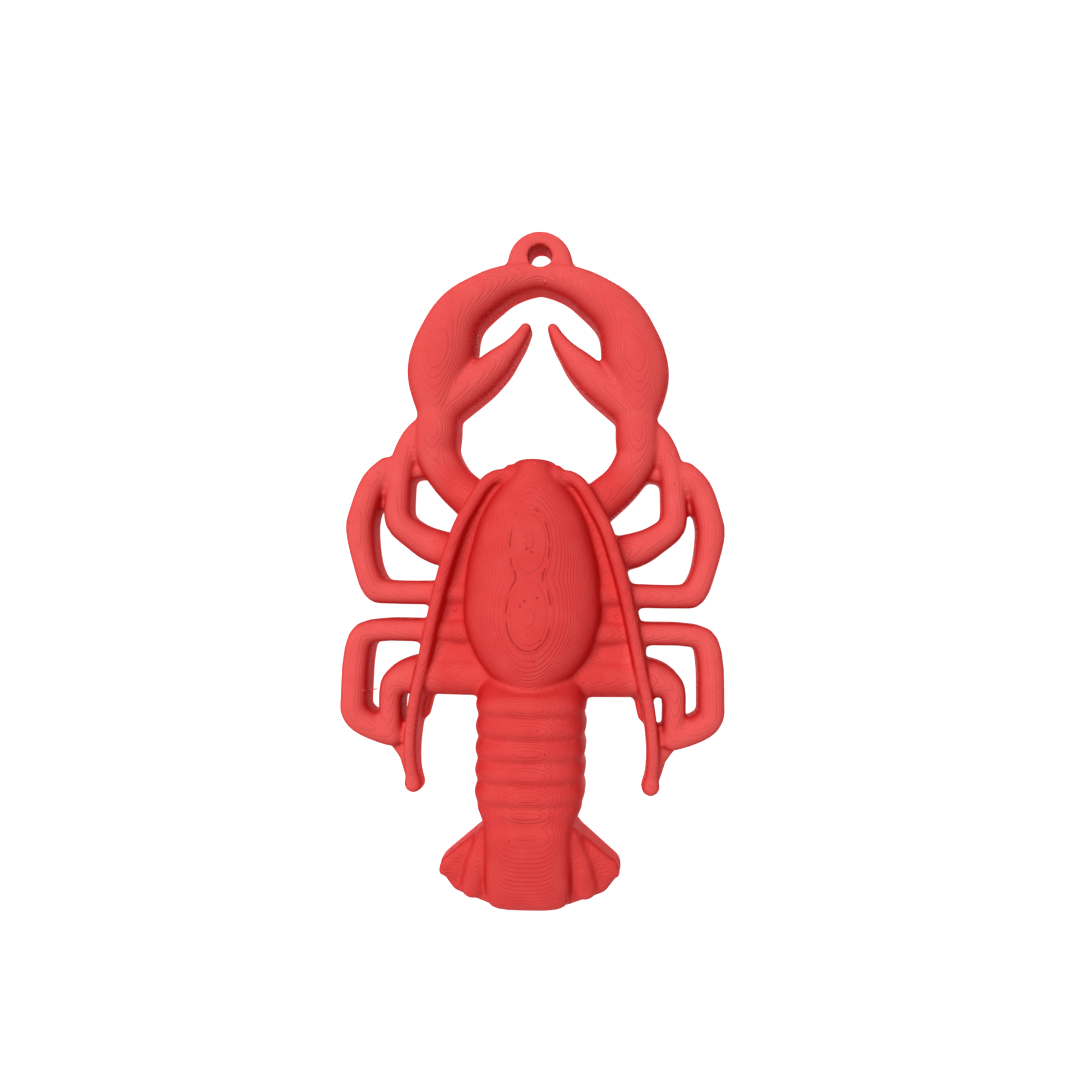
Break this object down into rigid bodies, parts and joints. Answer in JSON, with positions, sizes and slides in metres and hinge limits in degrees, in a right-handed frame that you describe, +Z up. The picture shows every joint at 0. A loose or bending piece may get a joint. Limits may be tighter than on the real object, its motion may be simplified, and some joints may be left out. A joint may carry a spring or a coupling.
{
  "type": "printed plastic lobster charm",
  "caption": "Flat-backed plastic lobster charm with claws that meet in a hang loop, ridged tail, spread tail fan and swept-back antennae.",
  "frame": {"origin": "middle of the flat underside's bounding box", "axes": "+Y towards the hang loop at the head end, +Z up out of the flat underside, +X to the lobster's right as seen from above with the loop at the top"},
  "size_m": [0.0556, 0.0972, 0.0125],
  "materials": {
    "red_plastic": "matte printed plastic with fine layer lines"
  },
  "bodies": {
    "root": {"lobster": "red_plastic"}
  },
  "joints": []
}
